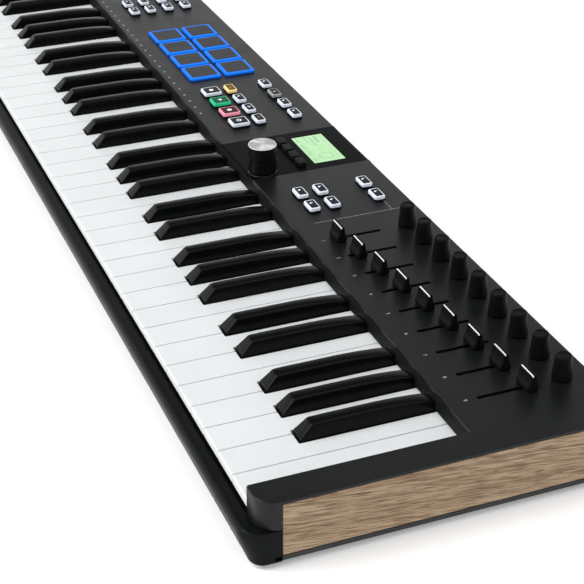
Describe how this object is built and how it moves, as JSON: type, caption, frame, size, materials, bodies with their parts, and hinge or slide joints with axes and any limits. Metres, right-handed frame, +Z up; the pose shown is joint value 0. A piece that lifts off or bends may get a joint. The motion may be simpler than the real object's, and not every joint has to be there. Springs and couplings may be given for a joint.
{
  "type": "midi keyboard",
  "caption": "Full-size controller keyboard for music software, with wooden side panels, faders, rotary controls, drum pads, lit buttons, a small screen and performance wheels.",
  "frame": {"origin": "centre of the footprint, on the surface that the feet stand on", "axes": "+X along the keys from bass to treble, +Y from the player towards the rear panel, +Z up"},
  "size_m": [0.889, 0.235, 0.0656],
  "materials": {
    "case_plastic": "fine moulded texture, satin",
    "wood": "open straight grain, matt oil",
    "chassis_plastic": "moulded",
    "gloss_black": "gloss",
    "screen": "lit green liquid crystal display",
    "circuit_board": "solder mask",
    "plated_steel": "plated",
    "foot_rubber": "soft",
    "white_key": "semi-gloss",
    "black_key": "satin with fine grain",
    "knob_plastic": "soft-touch",
    "encoder_plastic": "black body with a spun metal cap",
    "wheel_rubber": "soft-touch",
    "pad_rubber": "silicone with lit rims",
    "button_translucent": "frosted, lit from inside",
    "button_dark": "satin"
  },
  "bodies": {
    "case": {"top_case": "case_plastic", "bottom_case": "case_plastic", "wood_panel_left": "wood", "wood_panel_right": "wood", "key_frame": "chassis_plastic", "display_window": "gloss_black", "lcd_module": "screen", "main_board": "circuit_board", "connector_plate": "case_plastic", "usb_socket": "plated_steel", "midi_socket": "gloss_black", "pedal_jack": "gloss_black", "foot_1": "foot_rubber", "foot_2": "foot_rubber", "foot_3": "foot_rubber", "foot_4": "foot_rubber"},
    "key_C6": {"key_C6": "white_key"},
    "key_Cs6": {"key_Cs6": "black_key"},
    "key_D6": {"key_D6": "white_key"},
    "key_Ds6": {"key_Ds6": "black_key"},
    "key_E6": {"key_E6": "white_key"},
    "key_F6": {"key_F6": "white_key"},
    "key_Fs6": {"key_Fs6": "black_key"},
    "key_G6": {"key_G6": "white_key"},
    "key_Gs6": {"key_Gs6": "black_key"},
    "key_A6": {"key_A6": "white_key"},
    "key_As6": {"key_As6": "black_key"},
    "key_B6": {"key_B6": "white_key"},
    "key_C7": {"key_C7": "white_key"},
    "white_keys_C2_B3": {"white_keys_C2_B3": "white_key"},
    "white_keys_C4_B5": {"white_keys_C4_B5": "white_key"},
    "black_keys_C2_B3": {"black_keys_C2_B3": "black_key"},
    "black_keys_C4_B5": {"black_keys_C4_B5": "black_key"},
    "fader_1": {"fader_1": "knob_plastic"},
    "fader_2": {"fader_2": "knob_plastic"},
    "fader_3": {"fader_3": "knob_plastic"},
    "fader_4": {"fader_4": "knob_plastic"},
    "fader_5": {"fader_5": "knob_plastic"},
    "fader_6": {"fader_6": "knob_plastic"},
    "fader_7": {"fader_7": "knob_plastic"},
    "fader_8": {"fader_8": "knob_plastic"},
    "fader_9": {"fader_9": "knob_plastic"},
    "knob_1": {"knob_1": "knob_plastic"},
    "knob_2": {"knob_2": "knob_plastic"},
    "knob_3": {"knob_3": "knob_plastic"},
    "knob_4": {"knob_4": "knob_plastic"},
    "knob_5": {"knob_5": "knob_plastic"},
    "knob_6": {"knob_6": "knob_plastic"},
    "knob_7": {"knob_7": "knob_plastic"},
    "knob_8": {"knob_8": "knob_plastic"},
    "knob_9": {"knob_9": "knob_plastic"},
    "encoder_shaft": {"encoder_shaft": "plated_steel"},
    "encoder_knob": {"encoder_knob": "encoder_plastic"},
    "pitch_wheel": {"pitch_wheel": "wheel_rubber"},
    "mod_wheel": {"mod_wheel": "wheel_rubber"},
    "pad_mat": {"pad_mat": "pad_rubber"},
    "transport_buttons": {"transport_buttons": "button_translucent"},
    "context_buttons": {"context_buttons": "button_dark"},
    "part_buttons": {"part_buttons": "button_translucent"},
    "performance_buttons": {"performance_buttons": "button_translucent"}
  },
  "joints": [
    {"name": "encoder_push", "type": "slide", "parent": "case", "child": "encoder_shaft", "axis": [0, 0, -1], "range_m": [0, 0.0005], "stiffness_N_per_m": 900, "springref_m": -0.0008},
    {"name": "encoder_turn", "type": "hinge", "parent": "encoder_shaft", "child": "encoder_knob", "pos_m": [0.0692, 0.0359, 0.0432], "axis": [0, 0, 1], "continuous": true},
    {"name": "pitch_bend", "type": "hinge", "parent": "case", "child": "pitch_wheel", "pos_m": [-0.398, 0.0799, 0.0322], "axis": [-1, 0, 0], "range_deg": [-40, 40], "stiffness_Nm_per_rad": 0.05},
    {"name": "modulation", "type": "hinge", "parent": "case", "child": "mod_wheel", "pos_m": [-0.366, 0.0799, 0.0322], "axis": [-1, 0, 0], "range_deg": [0, 80]},
    {"name": "pads_press", "type": "slide", "parent": "case", "child": "pad_mat", "axis": [0, 0, -1], "range_m": [0, 0.0005], "stiffness_N_per_m": 2500, "springref_m": -0.0006},
    {"name": "transport_press", "type": "slide", "parent": "case", "child": "transport_buttons", "axis": [0, 0, -1], "range_m": [0, 0.0008], "stiffness_N_per_m": 1200, "springref_m": -0.001},
    {"name": "context_press", "type": "slide", "parent": "case", "child": "context_buttons", "axis": [0, 0, -1], "range_m": [0, 0.0008], "stiffness_N_per_m": 500, "springref_m": -0.001},
    {"name": "part_press", "type": "slide", "parent": "case", "child": "part_buttons", "axis": [0, 0, -1], "range_m": [0, 0.0008], "stiffness_N_per_m": 700, "springref_m": -0.001},
    {"name": "performance_press", "type": "slide", "parent": "case", "child": "performance_buttons", "axis": [0, 0, -1], "range_m": [0, 0.0008], "stiffness_N_per_m": 700, "springref_m": -0.001},
    {"name": "fader_1_slide", "type": "slide", "parent": "case", "child": "fader_1", "axis": [0, 1, 0], "range_m": [-0.0012, 0.0296]},
    {"name": "knob_1_turn", "type": "hinge", "parent": "case", "child": "knob_1", "pos_m": [0.1875, 0.098, 0.0432], "axis": [0, 0, 1], "continuous": true},
    {"name": "key_C6_press", "type": "hinge", "parent": "case", "child": "key_C6", "pos_m": [0, 0.0439, 0.024], "axis": [1, 0, 0], "range_deg": [0, 3.6], "stiffness_Nm_per_rad": 0.3, "springref_deg": -17.19},
    {"name": "key_Cs6_press", "type": "hinge", "parent": "case", "child": "key_Cs6", "pos_m": [0, 0.0439, 0.024], "axis": [1, 0, 0], "range_deg": [0, 3.6], "stiffness_Nm_per_rad": 0.3, "springref_deg": -17.19},
    {"name": "white_keys_C2_B3_press", "type": "hinge", "parent": "case", "child": "white_keys_C2_B3", "pos_m": [0, 0.0439, 0.024], "axis": [1, 0, 0], "range_deg": [0, 3.6], "stiffness_Nm_per_rad": 4.2, "springref_deg": -17.19},
    {"name": "black_keys_C2_B3_press", "type": "hinge", "parent": "case", "child": "black_keys_C2_B3", "pos_m": [0, 0.0439, 0.024], "axis": [1, 0, 0], "range_deg": [0, 3.6], "stiffness_Nm_per_rad": 3, "springref_deg": -17.19},
    {"name": "fader_9_slide", "type": "slide", "parent": "case", "child": "fader_9", "axis": [0, 1, 0], "range_m": [-0.03024, 0.00056]},
    {"name": "white_keys_C4_B5_press", "type": "hinge", "parent": "case", "child": "white_keys_C4_B5", "pos_m": [0, 0.0439, 0.024], "axis": [1, 0, 0], "range_deg": [0, 3.6], "stiffness_Nm_per_rad": 4.2, "springref_deg": -17.19},
    {"name": "black_keys_C4_B5_press", "type": "hinge", "parent": "case", "child": "black_keys_C4_B5", "pos_m": [0, 0.0439, 0.024], "axis": [1, 0, 0], "range_deg": [0, 3.6], "stiffness_Nm_per_rad": 3, "springref_deg": -17.19},
    {"name": "key_D6_press", "type": "hinge", "parent": "case", "child": "key_D6", "pos_m": [0, 0.0439, 0.024], "axis": [1, 0, 0], "range_deg": [0, 3.6], "stiffness_Nm_per_rad": 0.3, "springref_deg": -17.19},
    {"name": "key_Ds6_press", "type": "hinge", "parent": "case", "child": "key_Ds6", "pos_m": [0, 0.0439, 0.024], "axis": [1, 0, 0], "range_deg": [0, 3.6], "stiffness_Nm_per_rad": 0.3, "springref_deg": -17.19},
    {"name": "key_E6_press", "type": "hinge", "parent": "case", "child": "key_E6", "pos_m": [0, 0.0439, 0.024], "axis": [1, 0, 0], "range_deg": [0, 3.6], "stiffness_Nm_per_rad": 0.3, "springref_deg": -17.19},
    {"name": "key_F6_press", "type": "hinge", "parent": "case", "child": "key_F6", "pos_m": [0, 0.0439, 0.024], "axis": [1, 0, 0], "range_deg": [0, 3.6], "stiffness_Nm_per_rad": 0.3, "springref_deg": -17.19},
    {"name": "key_Fs6_press", "type": "hinge", "parent": "case", "child": "key_Fs6", "pos_m": [0, 0.0439, 0.024], "axis": [1, 0, 0], "range_deg": [0, 3.6], "stiffness_Nm_per_rad": 0.3, "springref_deg": -17.19},
    {"name": "key_G6_press", "type": "hinge", "parent": "case", "child": "key_G6", "pos_m": [0, 0.0439, 0.024], "axis": [1, 0, 0], "range_deg": [0, 3.6], "stiffness_Nm_per_rad": 0.3, "springref_deg": -17.19},
    {"name": "key_Gs6_press", "type": "hinge", "parent": "case", "child": "key_Gs6", "pos_m": [0, 0.0439, 0.024], "axis": [1, 0, 0], "range_deg": [0, 3.6], "stiffness_Nm_per_rad": 0.3, "springref_deg": -17.19},
    {"name": "key_A6_press", "type": "hinge", "parent": "case", "child": "key_A6", "pos_m": [0, 0.0439, 0.024], "axis": [1, 0, 0], "range_deg": [0, 3.6], "stiffness_Nm_per_rad": 0.3, "springref_deg": -17.19},
    {"name": "key_As6_press", "type": "hinge", "parent": "case", "child": "key_As6", "pos_m": [0, 0.0439, 0.024], "axis": [1, 0, 0], "range_deg": [0, 3.6], "stiffness_Nm_per_rad": 0.3, "springref_deg": -17.19},
    {"name": "key_B6_press", "type": "hinge", "parent": "case", "child": "key_B6", "pos_m": [0, 0.0439, 0.024], "axis": [1, 0, 0], "range_deg": [0, 3.6], "stiffness_Nm_per_rad": 0.3, "springref_deg": -17.19},
    {"name": "key_C7_press", "type": "hinge", "parent": "case", "child": "key_C7", "pos_m": [0, 0.0439, 0.024], "axis": [1, 0, 0], "range_deg": [0, 3.6], "stiffness_Nm_per_rad": 0.3, "springref_deg": -17.19},
    {"name": "fader_2_slide", "type": "slide", "parent": "case", "child": "fader_2", "axis": [0, 1, 0], "range_m": [-0.00483, 0.02597]},
    {"name": "fader_3_slide", "type": "slide", "parent": "case", "child": "fader_3", "axis": [0, 1, 0], "range_m": [-0.00846, 0.02234]},
    {"name": "fader_4_slide", "type": "slide", "parent": "case", "child": "fader_4", "axis": [0, 1, 0], "range_m": [-0.01209, 0.01871]},
    {"name": "fader_5_slide", "type": "slide", "parent": "case", "child": "fader_5", "axis": [0, 1, 0], "range_m": [-0.01572, 0.01508]},
    {"name": "fader_6_slide", "type": "slide", "parent": "case", "child": "fader_6", "axis": [0, 1, 0], "range_m": [-0.01935, 0.01145]},
    {"name": "fader_7_slide", "type": "slide", "parent": "case", "child": "fader_7", "axis": [0, 1, 0], "range_m": [-0.02298, 0.00782]},
    {"name": "fader_8_slide", "type": "slide", "parent": "case", "child": "fader_8", "axis": [0, 1, 0], "range_m": [-0.02661, 0.00419]},
    {"name": "knob_2_turn", "type": "hinge", "parent": "case", "child": "knob_2", "pos_m": [0.21355, 0.098, 0.0432], "axis": [0, 0, 1], "continuous": true},
    {"name": "knob_3_turn", "type": "hinge", "parent": "case", "child": "knob_3", "pos_m": [0.2396, 0.098, 0.0432], "axis": [0, 0, 1], "continuous": true},
    {"name": "knob_4_turn", "type": "hinge", "parent": "case", "child": "knob_4", "pos_m": [0.26565, 0.098, 0.0432], "axis": [0, 0, 1], "continuous": true},
    {"name": "knob_5_turn", "type": "hinge", "parent": "case", "child": "knob_5", "pos_m": [0.2917, 0.098, 0.0432], "axis": [0, 0, 1], "continuous": true},
    {"name": "knob_6_turn", "type": "hinge", "parent": "case", "child": "knob_6", "pos_m": [0.31775, 0.098, 0.0432], "axis": [0, 0, 1], "continuous": true},
    {"name": "knob_7_turn", "type": "hinge", "parent": "case", "child": "knob_7", "pos_m": [0.3438, 0.098, 0.0432], "axis": [0, 0, 1], "continuous": true},
    {"name": "knob_8_turn", "type": "hinge", "parent": "case", "child": "knob_8", "pos_m": [0.36985, 0.098, 0.0432], "axis": [0, 0, 1], "continuous": true},
    {"name": "knob_9_turn", "type": "hinge", "parent": "case", "child": "knob_9", "pos_m": [0.3959, 0.098, 0.0432], "axis": [0, 0, 1], "continuous": true}
  ]
}
